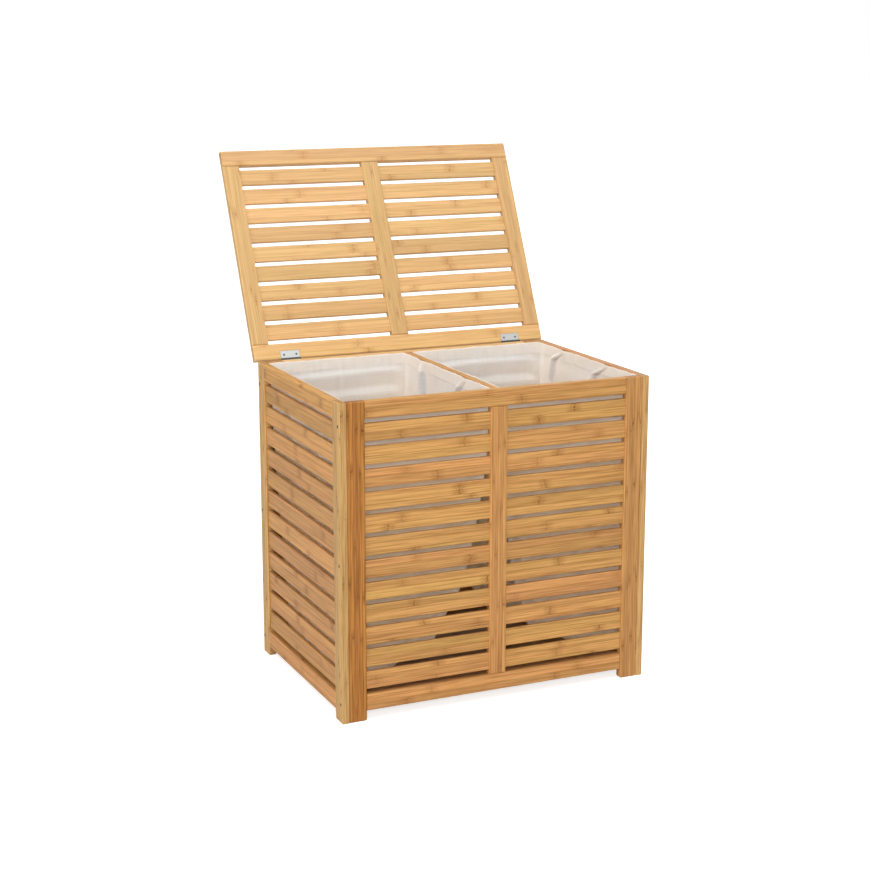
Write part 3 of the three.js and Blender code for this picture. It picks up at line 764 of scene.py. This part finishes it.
    def make_stitches(self, thread):
        """Lock stitches along the foot of the hem: spindles one after another, on the inner skin."""
        count = int(self.around / STITCH_PITCH)
        start = np.arange(count) * self.around / count
        height = np.full(count, self.rim - HEM_HEIGHT + 2 * MM)
        here = self.wall(start, height, True)
        along = self.wall(start + STITCH_LENGTH, height, True) - here
        up = self.wall(start, height + MM, True) - here
        out = np.cross(up, along)
        out = out / np.linalg.norm(out, axis=1, keepdims=True)
        up = np.cross(along, out)
        up = up / np.linalg.norm(up, axis=1, keepdims=True)
        places = np.zeros((count, 4, 4))
        places[:, :3, 0] = along
        places[:, :3, 1] = out * STITCH_THICKNESS
        places[:, :3, 2] = up * STITCH_THICKNESS
        middle = (self.low + self.high) / 2
        towards = np.sign(np.einsum("ni,ni->n", middle - here, out))[:, None]
        places[:, :3, 3] = here + out * towards * STITCH_THICKNESS
        places[:, 3, 3] = 1
        stations = np.array([0.0, 0.15, 0.5, 0.85, 1.0])
        girth = np.array([0.25, 0.8, 1.0, 0.8, 0.25])
        turn = np.radians(np.arange(6) * 60)
        points = np.stack([
            np.repeat(stations, 6),
            np.outer(girth, np.cos(turn)).ravel(),
            np.outer(girth, np.sin(turn)).ravel(),
        ], axis=-1)
        points, faces = copies(points, skin_faces(5, 6), places)
        return new_piece(self.name + "_hem_stitches", points, faces, thread, "box", "liner")


# Screws


def screw_shape(radius, head, shank, length, recess, sides=40):
    """A countersunk cross-recessed screw, its face at zero and its shank going down.

    It is a profile turned about the axis. The face is a low dome, sunk where an arm of the cross lies.
    """
    turn = np.linspace(0, 2 * math.pi, sides, endpoint=False)
    share = np.array([[0.04, 0.15, 0.25, 0.35, 0.45, 0.55, 0.65, 0.8, 0.93]]).T
    x, y = radius * share * np.cos(turn), radius * share * np.sin(turn)
    arm = np.minimum(np.abs(x), np.abs(y))
    cross = (1 - smooth(arm, 0.09 * radius, 0.2 * radius)) * (1 - smooth(share, 0.55, 0.66))
    face = np.stack([x, y, 0.08 * radius * (1 - share ** 2) - recess * cross], axis=-1)
    size = np.array([[radius, radius, shank, shank, 0.1 * radius]]).T
    level = np.array([[-0.04 * radius, -0.12 * radius, -head, -length, -length - shank]]).T
    side = np.stack([size * np.cos(turn), size * np.sin(turn), level + 0 * turn], axis=-1)
    rings = np.concatenate([face, side])[::-1]
    return rings.reshape(-1, 3), skin_faces(len(rings), sides)


def screw_place(place, outward, turn):
    """The 4 by 4 array that sets a screw at a place, facing outward and turned about its axis."""
    facing = Vector(outward).to_track_quat("Z", "Y").to_matrix().to_4x4()
    return np.array(Matrix.Translation(place) @ facing @ Matrix.Rotation(turn, 4, "Z"))


# Radius of the head, depth of head, radius of shank, length and depth of the recess
SIDE_SCREW = (3.3 * MM, 1.7 * MM, 1.7 * MM, 12 * MM, 1.2 * MM)
LEAF_SCREW = (2.2 * MM, 0.75 * MM, 1.1 * MM, 8 * MM, 0.5 * MM)

SIDE_SCREW_HEIGHTS = (36 * MM, 300 * MM, 557 * MM)
SIDE_SCREW_INSET = 7.5 * MM
SIDE_SCREW_SINK = 0.3 * MM
LEAF_SCREW_SPACING = 26 * MM
LEAF_SCREW_FALL = 11.85 * MM
LEAF_THICKNESS = 1.2 * MM
LEAF_GAP = 0.3 * MM
LID_LEAF_FACE = 2.3 * MM


def make_side_screws(steel):
    """Three screws up each corner stile of the two side panels."""
    points, faces = screw_shape(*SIDE_SCREW)
    for side, outward in (("left", -1), ("right", 1)):
        places = []
        for end in ("front", "rear"):
            low, high = node_box(f"{side}_{end}_stile")
            face = high[0] - SIDE_SCREW_SINK if outward > 0 else low[0] + SIDE_SCREW_SINK
            y = low[1] + SIDE_SCREW_INSET if end == "front" else high[1] - SIDE_SCREW_INSET
            places += [
                screw_place((face, y, height), (outward, 0, 0), 0.4 + 1.9 * step)
                for step, height in enumerate(SIDE_SCREW_HEIGHTS)]
        name = side + "_panel_screws"
        new_piece(name, *copies(points, faces, np.array(places)), steel, "box", "hinges")


def make_hinge_screws(steel):
    """Two screws in each hinge leaf. Those of the lid are set as the lid lies shut, then turned."""
    points, faces = screw_shape(*LEAF_SCREW, sides=32)
    opened = np.array(Matrix.Translation(HINGE_PLACE) @ Matrix.Rotation(-LID_ANGLE, 4, "X"))
    rear_face = node_box("rear_top_rail")[1][1]
    for side in ("left", "right"):
        low, high = node_box(f"hinge_{side}_box_leaf")
        middle = (low[0] + high[0]) / 2
        on_box, on_lid = [], []
        for step, turn in ((-0.5, 0.3), (0.5, 1.1)):
            x = middle + step * LEAF_SCREW_SPACING
            y = rear_face + LEAF_GAP + LEAF_THICKNESS
            on_box.append(screw_place((x, y, HINGE_PLACE.z - LEAF_SCREW_FALL), (0, 1, 0), turn))
            shut = screw_place((x, -LEAF_SCREW_FALL, LID_LEAF_FACE), (0, 0, -1), turn)
            on_lid.append(opened @ shut)
        for body, places in (("box", on_box), ("lid", on_lid)):
            name = f"hinge_{side}_{body}_screws"
            new_piece(name, *copies(points, faces, np.array(places)), steel, body, "hinges")


# Floor, light and camera

FLOOR_REACH = 30
# The floor turns plain white between these distances from the hamper's middle, in metres
PLAIN_FLOOR = (0.8, 2.4)
WORLD_LIGHT = 0.32

# Name, place, size in metres and power in watts of each lamp. All are turned to one point in the box.
AIM = (0, 0, 0.4)
SOFTBOXES = (
    ("top_softbox", (-0.1, -0.5, 3.4), 3.2, 63),
    ("front_softbox", (-1.9, -4.2, 1.9), 1.2, 68),
    ("left_softbox", (-5.2, -1.7, 2.3), 1.5, 74),
    ("right_softbox", (5.2, -0.8, 2.3), 1.5, 36),
)


def make_floor():
    """A white floor that keeps the hamper's soft shadow and turns plain white away from it."""
    mesh = bpy.data.meshes.new("floor")
    corners = [(FLOOR_REACH * x, FLOOR_REACH * y, 0) for x, y in ((-1, -1), (1, -1), (1, 1), (-1, 1))]
    mesh.from_pydata(corners, [], [(0, 1, 2, 3)])
    floor = bpy.data.objects.new("floor", mesh)
    bpy.context.scene.collection.objects.link(floor)
    material, tree = new_material("white_studio_floor")
    place = add(tree, "TexCoord", out="Object")
    away = add(tree, "VectorMath", {0: place}, out="Value", operation="LENGTH")
    near, far = PLAIN_FLOOR
    glow = add(tree, "MapRange", {0: away, 1: near, 2: far, 3: 0.7, 4: 1.0})
    paper = add(tree, "BsdfDiffuse", {"Color": linear("#f2f2f2")})
    glow = add(tree, "Emission", {"Color": (1, 1, 1, 1), "Strength": glow})
    lit = add(tree, "AddShader", {0: paper, 1: glow})
    seen = add(tree, "LightPath", out="Is Camera Ray")
    surface = add(tree, "MixShader", {0: seen, 1: paper, 2: lit})
    add(tree, "OutputMaterial", {"Surface": surface})
    mesh.materials.append(material)


def make_world():
    """Soft light from all round, and plain white where the camera or a mirror looks past the floor."""
    world = bpy.data.worlds.new("studio")
    world.use_nodes = True
    tree = world.node_tree
    tree.nodes.clear()
    camera, glossy, through = add(
        tree, "LightPath", out=("Is Camera Ray", "Is Glossy Ray", "Is Transmission Ray"))
    seen = add(tree, "Math", {0: camera, 1: glossy}, operation="MAXIMUM")
    seen = add(tree, "Math", {0: seen, 1: through}, operation="MAXIMUM")
    strength = add(tree, "MapRange", {0: seen, 3: WORLD_LIGHT, 4: 1.0})
    back = add(tree, "Background", {"Color": (1, 1, 1, 1), "Strength": strength})
    add(tree, "OutputWorld", {"Surface": back})
    bpy.context.scene.world = world


def make_softbox(name, place, size, power):
    """A square area light at a place, turned to the box."""
    light = bpy.data.lights.new(name, "AREA")
    light.size = size
    light.energy = power
    lamp = bpy.data.objects.new(name, light)
    lamp.location = place
    lamp.rotation_euler = (Vector(AIM) - Vector(place)).to_track_quat("-Z", "Y").to_euler()
    bpy.context.scene.collection.objects.link(lamp)


def make_camera():
    """A camera at the photograph's place, level from side to side."""
    camera = bpy.data.cameras.new("camera")
    camera.sensor_width = SENSOR_WIDTH
    camera.lens = FOCAL_PIXELS / IMAGE_PIXELS * SENSOR_WIDTH
    camera.clip_end = 100
    eye = bpy.data.objects.new("camera", camera)
    forward = Vector((
        math.sin(CAMERA_YAW) * math.cos(CAMERA_PITCH),
        math.cos(CAMERA_YAW) * math.cos(CAMERA_PITCH),
        -math.sin(CAMERA_PITCH),
    ))
    eye.location = CAMERA_PLACE
    eye.rotation_euler = forward.to_track_quat("-Z", "Y").to_euler()
    bpy.context.scene.collection.objects.link(eye)
    bpy.context.scene.camera = eye


def main():
    """The whole scene: camera, light, floor, finishes of the CAD nodes, liners and screws."""
    make_camera()
    make_world()
    make_floor()
    for name, place, size, power in SOFTBOXES:
        make_softbox(name, place, size, power)
    dress_box()
    dress_lid()
    steel = zinc_plated_steel("zinc_plated_steel", "#bfc1be", 0.32)
    for name in frame["nodes"]:
        if name.startswith("hinge_"):
            dress(name, steel)
    fabric = cotton("off_white_cotton", "#fcf0e6", "#f5e6d9")
    thread = cotton("cotton_thread", "#f3efe8", "#ebe5dc")
    Liner("left_liner", 0).make(fabric, thread)
    Liner("right_liner", 1).make(fabric, thread)
    make_side_screws(zinc_plated_steel("black_zinc_plated_screws", "#57524c", 0.4))
    make_hinge_screws(zinc_plated_steel("zinc_plated_screws", "#62625f", 0.35))
    bpy.context.scene.view_settings.view_transform = "Standard"


main()
